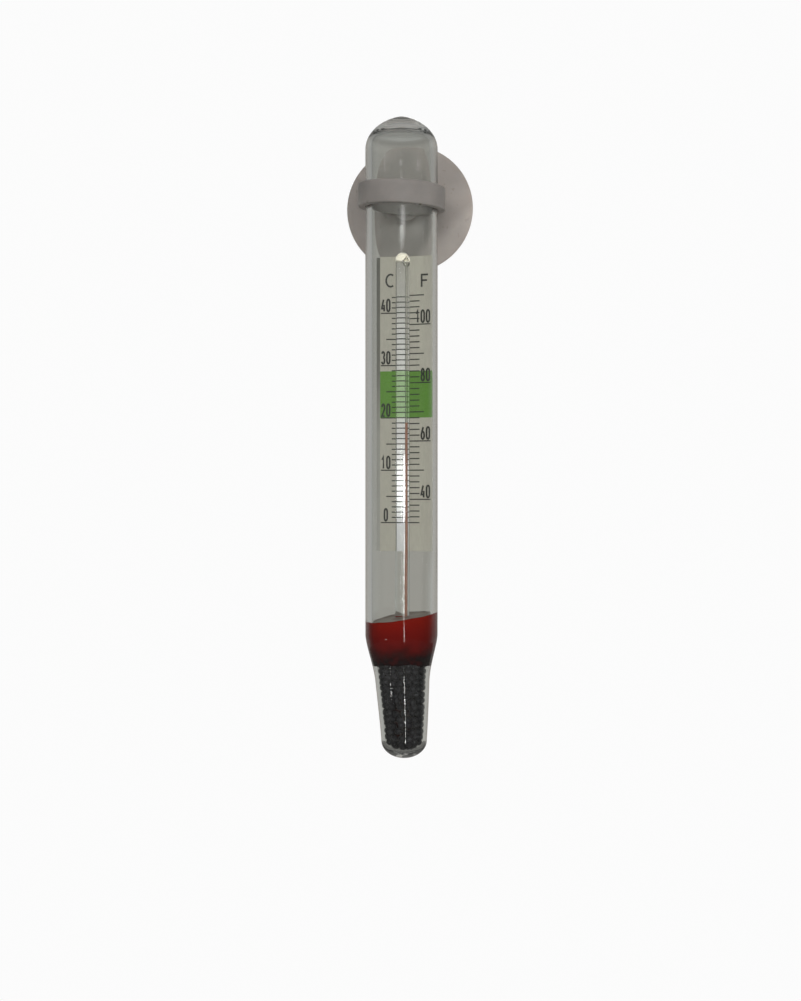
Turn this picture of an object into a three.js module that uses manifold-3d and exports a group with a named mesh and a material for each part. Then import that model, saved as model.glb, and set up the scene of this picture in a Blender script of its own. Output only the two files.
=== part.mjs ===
// Glass aquarium thermometer, held to the pane by a one-piece suction cup and ring.
// Millimetres. +Z is up along the tube and +Y points into the pane that the cup sticks to.
// The origin is the centre of the cup's sealing plane, level with the middle of the ring.
import * as THREE from 'three';
import { mergeVertices } from 'three/addons/utils/BufferGeometryUtils.js';
import Module from 'manifold-3d';

const wasm = await Module();
wasm.setup();

// Glass envelope: a straight tube with a pointed dome on top and a narrower nose below
const TUBE_LENGTH = 110;
const TUBE_TOP_Z = 13.85;
const TUBE_AXIS_Y = -12.5;
const TUBE_RADIUS = 6.2;
const TUBE_WALL = 1.15;
const DOME_HEIGHT = 5.6;
const DOME_GLASS = 2.7;
const NOSE_LENGTH = 21.1;
const NOSE_TOP_RADIUS = 4.6;
const NOSE_TIP_RADIUS = 3.9;
const NOSE_TAPER_LENGTH = 12.5;
const NOSE_WALL = 0.55;
const NOSE_BASE_GLASS = 1.6;
const SEAL_HOLE_RADIUS = 0.8;

// Suction cup, with its neck and ring
const RIM_RADIUS = 11.3;
const RIM_THICKNESS = 0.7;
const LAND_INNER_RADIUS = 10.5;
const LAND_OUTER_RADIUS = 11.0;
const HOLLOW_DEPTH = 2.3;
const CROWN_RADIUS = 4.4;
const CROWN_Y = -3.9;
const NECK_RADIUS = 2.8;
const NECK_END_Y = -5.9;
const RING_CLEARANCE = 0.1;
const RING_WALL = 1.2;
const RING_HEIGHT = 4;
const RING_EDGE = 0.35;

// Printed card; 0.9 mm of bore stands for one degree Celsius
const DEGREE = 0.9023;
const ZERO_Z = -55.81;
const READING = 19;
const CARD_TOP_Z = -10;
const CARD_BOTTOM_Z = -60.8;
const CARD_LEFT_X = -4.05;
const CARD_RIGHT_X = 4.75;
const CARD_THICKNESS = 0.2;
const CARD_GAP = 0.1;

// Capillary and bulb. A bulb of about 100 cubic mm, filled with a spirit that swells by
// a thousandth per degree, moves the thread 0.9 mm per degree in a bore of this radius.
const STEM_RADIUS = 1.22;
const STEM_TOP_Z = -9.55;
const BORE_RADIUS = 0.2;
const CHAMBER_RADIUS = 0.45;
const CHAMBER_TOP_Z = -10.3;
const CHAMBER_LENGTH = 1.5;
const BULB_RADIUS = 2;
const BULB_WALL = 0.25;
const BULB_TOP_Z = -82.2;
const BULB_LENGTH = 11;
const BULB_SHOULDER = 1.1;
const THREAD_LENGTH = 12;
const MENISCUS_DEPTH = 0.08;

// Ballast and the wax that holds it down
const WAX_TOP_Z = -72.2;
const WAX_BOTTOM_Z = -80.1;
const WAX_SLOPE_SIDE = THREE.MathUtils.degToRad(8.5);
const WAX_SLOPE_BACK = THREE.MathUtils.degToRad(4);
const FILL_INSET = 0.08;

// Spaces between touching pieces, and how finely round shapes are divided
const SLIP = 0.02;
const TOUCH = 0.05;
const TUBE_SIDES = 40;
const CUP_SIDES = 48;
const STEM_SIDES = 20;
const THREAD_SIDES = 12;
const CURVE_STEPS = 8;
const WELD = 1e-4;

const BORE_TUBE_RADIUS = TUBE_RADIUS - TUBE_WALL;
const TUBE_BOTTOM_Z = TUBE_TOP_Z - TUBE_LENGTH;
const BULB_BOTTOM_Z = BULB_TOP_Z - BULB_LENGTH;
const MENISCUS_Z = ZERO_Z + READING * DEGREE;

// Joins equal vertices and drops the flat triangles that a lathe leaves on its axis
function weld(geometry) {
  const bare = geometry.clone();
  bare.deleteAttribute('normal');
  bare.deleteAttribute('uv');
  const merged = mergeVertices(bare, WELD);
  const index = merged.index.array;
  const kept = [];
  for (let i = 0; i < index.length; i += 3) {
    const [a, b, c] = [index[i], index[i + 1], index[i + 2]];
    if (a !== b && b !== c && c !== a) kept.push(a, b, c);
  }
  merged.setIndex(kept);
  return merged;
}

function toManifold(geometry) {
  const closed = weld(geometry);
  const vertProperties = new Float32Array(closed.attributes.position.array);
  const triVerts = new Uint32Array(closed.index.array);
  return new wasm.Manifold(new wasm.Mesh({ numProp: 3, vertProperties, triVerts }));
}

function fromManifold(manifold) {
  const mesh = manifold.getMesh();
  const geometry = new THREE.BufferGeometry();
  geometry.setAttribute('position', new THREE.BufferAttribute(mesh.vertProperties, 3));
  geometry.setIndex(new THREE.BufferAttribute(mesh.triVerts, 1));
  return geometry;
}

// Turns an outline of (radius, height) points about the Z axis
function turnAboutZ(points, sides) {
  return new THREE.LatheGeometry(points, sides).rotateX(Math.PI / 2);
}

function named(name, geometry, material) {
  const welded = weld(geometry);
  welded.computeVertexNormals();
  const mesh = new THREE.Mesh(welded, material);
  mesh.name = name;
  return mesh;
}

// Outer outline of the nose, from the axis at the tip up to the straight tube
function noseOutline(path, base, tipRadius, topRadius, tubeRadius) {
  const tipHeight = 3;
  const taperTop = TUBE_BOTTOM_Z + NOSE_TAPER_LENGTH;
  const shoulderTop = TUBE_BOTTOM_Z + NOSE_LENGTH;
  const round = 0.55;
  path.moveTo(0, base);
  path.bezierCurveTo(tipRadius * round, base, tipRadius, base + tipHeight * (1 - round), tipRadius, base + tipHeight);
  path.lineTo(topRadius, taperTop);
  path.bezierCurveTo(topRadius + 0.12, taperTop + 3.3, tubeRadius - 0.15, taperTop + 6.4, tubeRadius, shoulderTop);
}

// Inner wall of the envelope, from the axis at the base up to the straight bore
function innerWall() {
  const path = new THREE.Path();
  noseOutline(
    path,
    TUBE_BOTTOM_Z + NOSE_BASE_GLASS,
    NOSE_TIP_RADIUS - NOSE_WALL,
    NOSE_TOP_RADIUS - NOSE_WALL,
    BORE_TUBE_RADIUS,
  );
  return path.getPoints(CURVE_STEPS);
}

// Part of the inner wall between two heights, pulled in by inset, for whatever fills the tube
function fillOutline(low, high, inset) {
  const wall = innerWall();
  wall.push(new THREE.Vector2(BORE_TUBE_RADIUS, 0));
  const radiusAt = (z) => {
    const i = wall.findIndex((p) => p.y > z);
    const [a, b] = [wall[i - 1], wall[i]];
    return THREE.MathUtils.mapLinear(z, a.y, b.y, a.x, b.x) - inset;
  };
  const between = wall.filter((p) => p.y > low && p.y < high).map((p) => new THREE.Vector2(p.x - inset, p.y));
  return [new THREE.Vector2(radiusAt(low), low), ...between, new THREE.Vector2(radiusAt(high), high)];
}

function glassEnvelope() {
  const path = new THREE.Path();
  noseOutline(path, TUBE_BOTTOM_Z, NOSE_TIP_RADIUS, NOSE_TOP_RADIUS, TUBE_RADIUS);
  const domeBase = TUBE_TOP_Z - DOME_HEIGHT;
  path.lineTo(TUBE_RADIUS, domeBase);
  path.bezierCurveTo(TUBE_RADIUS, domeBase + 2.7, 3.7, TUBE_TOP_Z - 0.85, SEAL_HOLE_RADIUS, TUBE_TOP_Z - 0.13);
  const roof = TUBE_TOP_Z - DOME_GLASS;
  path.lineTo(SEAL_HOLE_RADIUS, roof);
  path.bezierCurveTo(3.4, roof - 0.2, BORE_TUBE_RADIUS, roof - 1.6, BORE_TUBE_RADIUS, roof - 4);
  const outside = path.getPoints(CURVE_STEPS);
  return turnAboutZ([...outside, ...innerWall().reverse()], TUBE_SIDES);
}

// The bead of glass that closes the dome once the tube is filled
function sealTip() {
  const radius = SEAL_HOLE_RADIUS - TOUCH;
  const shoulder = TUBE_TOP_Z - 0.15;
  const path = new THREE.Path();
  path.moveTo(0, TUBE_TOP_Z - DOME_GLASS - 0.2);
  path.quadraticCurveTo(radius, TUBE_TOP_Z - DOME_GLASS - 0.2, radius, TUBE_TOP_Z - DOME_GLASS + 0.3);
  path.lineTo(radius, shoulder);
  path.quadraticCurveTo(radius / 2, TUBE_TOP_Z, 0, TUBE_TOP_Z);
  return turnAboutZ(path.getPoints(4), STEM_SIDES);
}

// Cup turned about Y: hollow, flat sealing land, thin lip, back and neck
function cupBody() {
  const path = new THREE.Path();
  path.moveTo(0, NECK_END_Y);
  path.lineTo(NECK_RADIUS, NECK_END_Y);
  path.lineTo(NECK_RADIUS, CROWN_Y - 1.3);
  path.quadraticCurveTo(NECK_RADIUS, CROWN_Y - 0.3, CROWN_RADIUS, CROWN_Y);
  path.bezierCurveTo(6.4, CROWN_Y + 0.3, 8.5, -1.9, RIM_RADIUS - 0.4, -RIM_THICKNESS - 0.1);
  path.quadraticCurveTo(RIM_RADIUS, -RIM_THICKNESS, RIM_RADIUS, -RIM_THICKNESS / 2);
  path.quadraticCurveTo(RIM_RADIUS, 0, LAND_OUTER_RADIUS, 0);
  path.lineTo(LAND_INNER_RADIUS, 0);
  path.bezierCurveTo(8, -1.2, 4.5, -HOLLOW_DEPTH, 0, -HOLLOW_DEPTH);
  return new THREE.LatheGeometry(path.getPoints(6), CUP_SIDES);
}

// Ring turned about the tube's axis, its outer edges rounded
function ringBody() {
  const inner = TUBE_RADIUS + RING_CLEARANCE;
  const outer = inner + RING_WALL;
  const half = RING_HEIGHT / 2;
  const path = new THREE.Path();
  path.moveTo(inner, half - RING_EDGE / 2);
  path.lineTo(inner, RING_EDGE / 2 - half);
  path.lineTo(inner + RING_EDGE / 2, -half);
  path.lineTo(outer - RING_EDGE, -half);
  path.quadraticCurveTo(outer, -half, outer, RING_EDGE - half);
  path.lineTo(outer, half - RING_EDGE);
  path.quadraticCurveTo(outer, half, outer - RING_EDGE, half);
  path.lineTo(inner + RING_EDGE / 2, half);
  path.lineTo(inner, half - RING_EDGE / 2);
  return turnAboutZ(path.getPoints(3), CUP_SIDES).translate(0, TUBE_AXIS_Y, 0);
}

function suctionCup() {
  return fromManifold(toManifold(cupBody()).add(toManifold(ringBody())));
}

// Thick-walled capillary, open at the bottom, with a small safety chamber at the top of its bore
function capillaryStem() {
  const bottom = BULB_TOP_Z + TOUCH;
  const chamberBottom = CHAMBER_TOP_Z - CHAMBER_LENGTH;
  const path = new THREE.Path();
  path.moveTo(BORE_RADIUS, bottom);
  path.lineTo(STEM_RADIUS, bottom);
  path.lineTo(STEM_RADIUS, STEM_TOP_Z - STEM_RADIUS);
  path.bezierCurveTo(STEM_RADIUS, STEM_TOP_Z - 0.5, 0.7, STEM_TOP_Z, 0, STEM_TOP_Z);
  const bore = new THREE.Path();
  bore.moveTo(0, CHAMBER_TOP_Z);
  bore.quadraticCurveTo(CHAMBER_RADIUS, CHAMBER_TOP_Z, CHAMBER_RADIUS, CHAMBER_TOP_Z - CHAMBER_LENGTH / 2);
  bore.quadraticCurveTo(CHAMBER_RADIUS * 0.6, chamberBottom + 0.3, BORE_RADIUS, chamberBottom);
  bore.lineTo(BORE_RADIUS, bottom);
  const outline = [...bore.getPoints(4), ...path.getPoints(5)];
  return turnAboutZ(outline, STEM_SIDES);
}

// Thin bulb, with a mouth the size of the bore in its flat top
function capillaryBulb() {
  const inner = BULB_RADIUS - BULB_WALL;
  const floor = BULB_BOTTOM_Z + BULB_WALL;
  const ceiling = BULB_TOP_Z - BULB_WALL;
  const path = new THREE.Path();
  path.moveTo(0, BULB_BOTTOM_Z);
  path.quadraticCurveTo(BULB_RADIUS, BULB_BOTTOM_Z, BULB_RADIUS, BULB_BOTTOM_Z + BULB_SHOULDER);
  path.lineTo(BULB_RADIUS, BULB_TOP_Z - BULB_SHOULDER);
  path.quadraticCurveTo(BULB_RADIUS, BULB_TOP_Z, STEM_RADIUS / 2, BULB_TOP_Z);
  path.lineTo(BORE_RADIUS, BULB_TOP_Z);
  path.lineTo(BORE_RADIUS, ceiling);
  path.quadraticCurveTo(inner, ceiling, inner, ceiling - BULB_SHOULDER);
  path.lineTo(inner, floor + BULB_SHOULDER);
  path.quadraticCurveTo(inner, floor, 0, floor);
  return turnAboutZ(path.getPoints(5), STEM_SIDES);
}

function bulbSpirit() {
  const radius = BULB_RADIUS - BULB_WALL - TOUCH;
  const floor = BULB_BOTTOM_Z + BULB_WALL + TOUCH;
  const ceiling = BULB_TOP_Z - BULB_WALL - 2 * TOUCH;
  const path = new THREE.Path();
  path.moveTo(0, floor);
  path.quadraticCurveTo(radius, floor, radius, floor + BULB_SHOULDER);
  path.lineTo(radius, ceiling - BULB_SHOULDER);
  path.quadraticCurveTo(radius, ceiling, 0, ceiling);
  return turnAboutZ(path.getPoints(5), STEM_SIDES);
}

// Lower part of the spirit in the bore, which stretches as the thread above it moves
function spiritColumn() {
  const bottom = BULB_TOP_Z - BULB_WALL;
  const top = MENISCUS_Z - THREAD_LENGTH - TOUCH;
  const radius = BORE_RADIUS - SLIP;
  const corners = [[0, bottom], [radius, bottom], [radius, top], [0, top]];
  return turnAboutZ(corners.map(([r, z]) => new THREE.Vector2(r, z)), THREAD_SIDES);
}

// Upper end of the spirit, with the hollow meniscus that is read against the scale
function spiritThread() {
  const radius = BORE_RADIUS - SLIP;
  const path = new THREE.Path();
  path.moveTo(0, MENISCUS_Z - THREAD_LENGTH);
  path.lineTo(radius, MENISCUS_Z - THREAD_LENGTH);
  path.lineTo(radius, MENISCUS_Z);
  path.quadraticCurveTo(radius / 2, MENISCUS_Z - MENISCUS_DEPTH, 0, MENISCUS_Z - MENISCUS_DEPTH);
  return turnAboutZ(path.getPoints(3), THREAD_SIDES);
}

function scaleCard() {
  const front = STEM_RADIUS + CARD_GAP;
  const height = CARD_TOP_Z - CARD_BOTTOM_Z;
  const outline = new THREE.Shape();
  outline.moveTo(CARD_LEFT_X, 0);
  outline.lineTo(CARD_RIGHT_X, 0);
  outline.lineTo(CARD_RIGHT_X, height);
  outline.lineTo(CARD_LEFT_X, height);
  const card = new THREE.ExtrudeGeometry(outline, { depth: CARD_THICKNESS, bevelEnabled: false });
  return card.rotateX(Math.PI / 2).translate(0, front + CARD_THICKNESS, CARD_BOTTOM_Z);
}

// Wax plug: it fills the tube around the capillary and set with a slanting top
function waxPlug() {
  const tallTop = WAX_TOP_Z + 3;
  const side = fillOutline(WAX_BOTTOM_Z, tallTop, FILL_INSET);
  const axisPoint = (z) => new THREE.Vector2(0, z);
  const body = turnAboutZ([axisPoint(WAX_BOTTOM_Z), ...side, axisPoint(tallTop)], TUBE_SIDES);
  const stemHole = new THREE.CylinderGeometry(
    STEM_RADIUS + FILL_INSET, STEM_RADIUS + FILL_INSET, 30, STEM_SIDES,
  ).rotateX(Math.PI / 2).translate(0, 0, WAX_TOP_Z);
  const cutHeight = 10;
  const above = new THREE.BoxGeometry(30, 30, cutHeight)
    .translate(0, 0, cutHeight / 2)
    .rotateX(WAX_SLOPE_BACK)
    .rotateY(-WAX_SLOPE_SIDE)
    .translate(0, 0, WAX_TOP_Z);
  return fromManifold(toManifold(body).subtract(toManifold(stemHole)).subtract(toManifold(above)));
}

// Packed shot as one solid: it fills the nose around the bulb and the foot of the capillary
function ballastShot() {
  const top = WAX_BOTTOM_Z - TOUCH;
  const base = TUBE_BOTTOM_Z + NOSE_BASE_GLASS + FILL_INSET;
  const pocket = BULB_RADIUS + FILL_INSET;
  const stemHole = STEM_RADIUS + FILL_INSET;
  const path = new THREE.Path();
  path.moveTo(stemHole, top);
  path.lineTo(stemHole, BULB_TOP_Z + FILL_INSET);
  path.lineTo(pocket, BULB_TOP_Z - FILL_INSET);
  path.lineTo(pocket, BULB_BOTTOM_Z + BULB_SHOULDER / 2);
  path.lineTo(pocket - 0.7, BULB_BOTTOM_Z - FILL_INSET);
  path.lineTo(0, BULB_BOTTOM_Z - FILL_INSET);
  const wall = fillOutline(base + FILL_INSET, top, FILL_INSET);
  return turnAboutZ([new THREE.Vector2(0, base), ...wall, ...path.getPoints(1)], TUBE_SIDES);
}

function finish(color, roughness, metalness, opacity = 1) {
  return new THREE.MeshStandardMaterial({ color, roughness, metalness, opacity, transparent: opacity < 1 });
}

const clearGlass = () => finish('#dfe6e2', 0.04, 0, 0.3);
const greyVinyl = finish('#8d8984', 0.35, 0, 0.75);
const redSpirit = () => finish('#a3241c', 0.1, 0, 0.9);
const scalePaper = finish('#d9d5c4', 0.85, 0);
const redWax = finish('#8c1712', 0.45, 0);
const blackShot = finish('#1d1d1f', 0.35, 0.6);

// Everything inside and on the glass is placed from the tube's own axis
const tube = new THREE.Group();
tube.position.set(0, TUBE_AXIS_Y, 0);
tube.add(
  named('glass_envelope', glassEnvelope(), clearGlass()),
  named('glass_seal_tip', sealTip(), clearGlass()),
  named('capillary_stem', capillaryStem(), clearGlass()),
  named('capillary_bulb', capillaryBulb(), clearGlass()),
  named('bulb_spirit', bulbSpirit(), redSpirit()),
  named('spirit_column', spiritColumn(), redSpirit()),
  named('spirit_thread', spiritThread(), redSpirit()),
  named('scale_card', scaleCard(), scalePaper),
  named('wax_plug', waxPlug(), redWax),
  named('ballast_shot', ballastShot(), blackShot),
);

const thermometer = new THREE.Group();
thermometer.add(named('suction_cup', suctionCup(), greyVinyl), tube);

export default thermometer;
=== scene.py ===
# Looks of the glass aquarium thermometer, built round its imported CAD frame.
# Lengths in this script are millimetres in the CAD frame; MM turns them into Blender's metres.
import math
import random

import bpy
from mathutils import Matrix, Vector, noise


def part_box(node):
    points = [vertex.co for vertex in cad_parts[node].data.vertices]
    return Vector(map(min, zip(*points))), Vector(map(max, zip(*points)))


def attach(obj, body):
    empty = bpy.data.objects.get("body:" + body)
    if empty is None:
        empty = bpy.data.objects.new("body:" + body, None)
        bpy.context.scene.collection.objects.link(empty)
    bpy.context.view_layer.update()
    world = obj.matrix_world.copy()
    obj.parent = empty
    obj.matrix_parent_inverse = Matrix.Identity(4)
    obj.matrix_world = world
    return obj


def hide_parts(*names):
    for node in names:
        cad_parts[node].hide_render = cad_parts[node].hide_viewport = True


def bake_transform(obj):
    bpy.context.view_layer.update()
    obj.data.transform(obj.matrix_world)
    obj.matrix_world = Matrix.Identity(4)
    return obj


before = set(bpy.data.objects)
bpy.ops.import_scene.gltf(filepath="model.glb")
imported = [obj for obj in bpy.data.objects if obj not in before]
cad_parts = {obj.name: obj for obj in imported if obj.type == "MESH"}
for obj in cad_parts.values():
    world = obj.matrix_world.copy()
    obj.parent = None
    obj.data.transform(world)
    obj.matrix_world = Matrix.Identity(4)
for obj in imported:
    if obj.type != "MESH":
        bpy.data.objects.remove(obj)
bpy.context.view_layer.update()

MM = 0.001
SEED = 7


def box_mm(node):
    """The low and high corners of a CAD node's box."""
    low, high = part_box(node)
    return low / MM, high / MM


def smoothstep(low, high, value):
    """Goes softly from 0 at low to 1 at high. Low may be the greater of the two."""
    t = min(max((value - low) / (high - low), 0.0), 1.0)
    return t * t * (3 - 2 * t)


# ---- sizes read from the frame ----

ENVELOPE_LOW, ENVELOPE_HIGH = box_mm("glass_envelope")
STEM_LOW, STEM_HIGH = box_mm("capillary_stem")
BULB_LOW, BULB_HIGH = box_mm("capillary_bulb")
CARD_LOW, CARD_HIGH = box_mm("scale_card")
WAX_LOW, WAX_HIGH = box_mm("wax_plug")
THREAD_LOW, THREAD_HIGH = box_mm("spirit_thread")
CUP_LOW, CUP_HIGH = box_mm("suction_cup")

AXIS_X = (ENVELOPE_LOW.x + ENVELOPE_HIGH.x) / 2
AXIS_Y = (ENVELOPE_LOW.y + ENVELOPE_HIGH.y) / 2
TUBE_RADIUS = (ENVELOPE_HIGH.x - ENVELOPE_LOW.x) / 2
TUBE_TOP = box_mm("glass_seal_tip")[1].z
TUBE_BOTTOM = ENVELOPE_LOW.z
STEM_RADIUS = (STEM_HIGH.x - STEM_LOW.x) / 2
BULB_RADIUS = (BULB_HIGH.x - BULB_LOW.x) / 2
RIM_RADIUS = (CUP_HIGH.x - CUP_LOW.x) / 2
SPIRIT_FOOT = box_mm("spirit_column")[0].z
MENISCUS = THREAD_HIGH.z
SHOT_TOP = box_mm("ballast_shot")[1].z

# ---- sizes of the drawn glass: a pair says where something begins and where it is full ----

GLASS_IOR = 1.5
WALL = 1.15
BORE = TUBE_RADIUS - WALL
DOME_HEIGHT = 5.6
DOME_GLASS = 2.9
RIPPLE_HEIGHT = 0.03
RIPPLE_TURNS = 14
RIPPLE_START = (5.9, 4.8)
RIPPLE_END = (0.8, 1.6)
BORE_SHIFT = 0.12
BORE_SWELL = 0.25
SWELL_FOOT = (-66, -60)
SWELL_TOP = (8, -2)
NOSE_LEAN = 0.45
LEAN_SPAN = (-76, -94)
NOSE_LENGTH = 21.1
NOSE_TAPER = 12.5
NOSE_TIP_RADIUS = 3.9
NOSE_TOP_RADIUS = 4.6
NOSE_WALL = 0.55
NOSE_BASE_GLASS = 1.1


# ---- mesh helpers ----

def bezier(a, b, c, d, steps):
    """Points along a cubic curve, without its first one."""
    found = []
    for i in range(1, steps + 1):
        t = i / steps
        u = 1 - t
        weights = (u ** 3, 3 * u * u * t, 3 * u * t * t, t ** 3)
        found.append(tuple(sum(w * p[k] for w, p in zip(weights, (a, b, c, d))) for k in (0, 1)))
    return found


def line(a, b, steps):
    """Points along a straight line, without its first one."""
    return [tuple(a[k] + (b[k] - a[k]) * i / steps for k in (0, 1)) for i in range(1, steps + 1)]


def trace(start, *strokes):
    """A profile of (radius, height) points: (end, steps) adds a line, (pull, pull, end, steps) a curve."""
    points = [start]
    for *pulls, end, steps in strokes:
        if pulls:
            points += bezier(points[-1], *pulls, end, steps)
        else:
            points += line(points[-1], end, steps)
    return points


def revolve(profile, segments, closed=False):
    """Vertices and faces of (radius, height) points turned about Z, facing out where the heights rise."""
    verts, faces, rings = [], [], []
    for radius, height in profile:
        if radius < 1e-6:
            rings.append([len(verts)])
            verts.append((0.0, 0.0, height))
            continue
        rings.append(list(range(len(verts), len(verts) + segments)))
        for j in range(segments):
            angle = 2 * math.pi * j / segments
            verts.append((radius * math.cos(angle), radius * math.sin(angle), height))
    pairs = list(zip(rings, rings[1:]))
    if closed:
        pairs.append((rings[-1], rings[0]))
    for low, high in pairs:
        if len(low) == 1 and len(high) == 1:
            continue
        if len(low) == 1:
            faces += fan(low[0], high[::-1])
        elif len(high) == 1:
            faces += fan(high[0], low)
        else:
            faces += band(low, high)
    return verts, faces


def band(low, high):
    """Faces between two rings of vertex numbers, the first one below the second."""
    count = len(low)
    return [(low[j], low[(j + 1) % count], high[(j + 1) % count], high[j]) for j in range(count)]


def fan(centre, ring):
    """Faces between a ring of vertex numbers and one vertex."""
    return [(ring[j], ring[(j + 1) % len(ring)], centre) for j in range(len(ring))]


def inside_out(shell):
    verts, faces = shell
    return verts, [tuple(reversed(f)) for f in faces]


def joined(*shells):
    verts, faces = [], []
    for v, f in shells:
        base = len(verts)
        verts.extend(v)
        faces.extend(tuple(i + base for i in face) for face in f)
    return verts, faces


def moved(shell, place):
    verts, faces = shell
    return [place(*v) for v in verts], faces


def piece(name, shell, material, body, smooth=True):
    """A mesh object from millimetre vertices, riding on a CAD body."""
    verts, faces = shell
    mesh = bpy.data.meshes.new(name)
    mesh.from_pydata([(x * MM, y * MM, z * MM) for x, y, z in verts], [], faces)
    mesh.materials.append(material)
    for polygon in mesh.polygons:
        polygon.use_smooth = smooth
    found = bpy.data.objects.new(name, mesh)
    bpy.context.scene.collection.objects.link(found)
    if body is not None:
        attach(found, body)
    return found


def clear_piece(name, shell, material, body="thermometer"):
    """A piece of glass. It casts no shadow, because real glass lets the light through."""
    found = piece(name, shell, material, body)
    found.visible_shadow = False
    return found


def on_tube_axis(x, y, z):
    """Puts a point of the tube in place. The drawn nose leans a little to the right."""
    lean = NOSE_LEAN * smoothstep(*LEAN_SPAN, z)
    return x + AXIS_X + lean, y + AXIS_Y, z


# ---- material helpers: scales are per metre and bump distances are metres ----

EVEN = (1, 1, 1)
MIX_INPUTS = (0, 6, 7)
MIX_RESULT = 2


def principled(name, colour, roughness, **sockets):
    material = bpy.data.materials.new(name)
    material.use_nodes = True
    shader = material.node_tree.nodes["Principled BSDF"]
    shader.inputs["Base Color"].default_value = (*colour, 1)
    shader.inputs["Roughness"].default_value = roughness
    for key, value in sockets.items():
        shader.inputs[key.replace("_", " ")].default_value = value
    return material, material.node_tree, shader


def feed(tree, socket, value):
    """Links a node's output to a socket, or sets a plain number or colour on it."""
    if isinstance(value, bpy.types.NodeSocket):
        tree.links.new(value, socket)
    else:
        socket.default_value = value


def object_place(tree, scale):
    coords = tree.nodes.new("ShaderNodeTexCoord")
    mapping = tree.nodes.new("ShaderNodeMapping")
    mapping.inputs["Scale"].default_value = scale
    tree.links.new(coords.outputs["Object"], mapping.inputs["Vector"])
    return mapping.outputs["Vector"]


def axes(tree, space="Object"):
    """The X, Y and Z of a point in the object's own space or, as Generated in the world, of a direction."""
    coords = tree.nodes.new("ShaderNodeTexCoord")
    split = tree.nodes.new("ShaderNodeSeparateXYZ")
    tree.links.new(coords.outputs[space], split.inputs["Vector"])
    return split.outputs


def noise_at(tree, vector, scale, detail=3.0, rough=0.5):
    node = tree.nodes.new("ShaderNodeTexNoise")
    node.inputs["Scale"].default_value = scale
    node.inputs["Detail"].default_value = detail
    node.inputs["Roughness"].default_value = rough
    tree.links.new(vector, node.inputs["Vector"])
    return node.outputs["Fac"]


def ramp(tree, factor, stops):
    """A colour for each place on a scale from 0 to 1. A plain number stands for a grey."""
    node = tree.nodes.new("ShaderNodeValToRGB")
    elements = node.color_ramp.elements
    while len(elements) < len(stops):
        elements.new(0.5)
    for element, (place, colour) in zip(elements, stops):
        element.position = place
        shade = colour if isinstance(colour, tuple) else (colour, colour, colour)
        element.color = (*shade, 1)
    tree.links.new(factor, node.inputs["Fac"])
    return node.outputs["Color"]


def spread(tree, factor, low, high, to_low, to_high):
    """Carries the range from low to high over to the range from to_low to to_high."""
    node = tree.nodes.new("ShaderNodeMapRange")
    for key, value in (("From Min", low), ("From Max", high), ("To Min", to_low), ("To Max", to_high)):
        node.inputs[key].default_value = value
    tree.links.new(factor, node.inputs["Value"])
    return node.outputs["Result"]


def mixed(tree, factor, first, second, blend_type="MIX"):
    """Two colours mixed by a factor. Each of the three is a node's output or a plain value."""
    node = tree.nodes.new("ShaderNodeMix")
    node.data_type = "RGBA"
    node.blend_type = blend_type
    for index, value in zip(MIX_INPUTS, (factor, first, second)):
        feed(tree, node.inputs[index], value)
    return node.outputs[MIX_RESULT]


def product(tree, first, second):
    return mixed(tree, 1.0, first, second, "MULTIPLY")


def reckoned(tree, operation, first, second):
    """The sum, difference or product of two numbers."""
    node = tree.nodes.new("ShaderNodeMath")
    node.operation = operation
    tree.links.new(first, node.inputs[0])
    tree.links.new(second, node.inputs[1])
    return node.outputs["Value"]


def cloudy_roughness(tree, shader, place, scale, detail, low, high):
    cloud = noise_at(tree, place, scale, detail)
    tree.links.new(spread(tree, cloud, 0.3, 0.7, low, high), shader.inputs["Roughness"])


def bump(tree, shader, height, distance, strength):
    node = tree.nodes.new("ShaderNodeBump")
    node.inputs["Distance"].default_value = distance
    node.inputs["Strength"].default_value = strength
    tree.links.new(height, node.inputs["Height"])
    tree.links.new(node.outputs["Normal"], shader.inputs["Normal"])


def along_card(tree):
    """The height of a point on the card, as a share of the card's length."""
    return spread(tree, axes(tree)["Z"], CARD_LOW.z * MM, CARD_HIGH.z * MM, 0, 1)


# ---- materials ----

def drawn_glass():
    """Soda glass drawn into tube: faint lengthwise waves, and a slight haze where its ends were melted."""
    material, tree, shader = principled(
        "drawn_glass", (0.955, 0.975, 0.96), 0.0, Transmission_Weight=1.0, IOR=GLASS_IOR,
    )
    bump(tree, shader, noise_at(tree, object_place(tree, (1, 1, 0.03)), 450, 0), 0.000003, 0.08)
    height = spread(tree, axes(tree)["Z"], TUBE_BOTTOM * MM, TUBE_TOP * MM, 0, 1)
    clear = ramp(tree, height, [
        (0.0, 0.87), (0.008, 0.91), (0.014, 1),
        (0.9738, 1), (0.975, 0.88), (0.98, 0.88), (0.9835, 0.975),
    ])
    tree.links.new(clear, shader.inputs["Transmission Weight"])
    return material


def capillary_glass():
    material, tree, shader = principled(
        "capillary_glass", (0.96, 0.965, 0.95), 0.0, Transmission_Weight=1.0, IOR=GLASS_IOR,
    )
    cloudy_roughness(tree, shader, object_place(tree, (1, 1, 0.1)), 600, 2, 0.03, 0.08)
    return material


# The rough glass of the rod's melted end; its pale cream colour is a painted glow of the light that end
# gathers.
def frosted_glass():
    material, tree, shader = principled(
        "frosted_glass", (0.86, 0.82, 0.72), 0.6, Transmission_Weight=0.12, IOR=GLASS_IOR,
    )
    bump(tree, shader, noise_at(tree, object_place(tree, EVEN), 4000, 3), 0.00002, 0.5)
    return material


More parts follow.
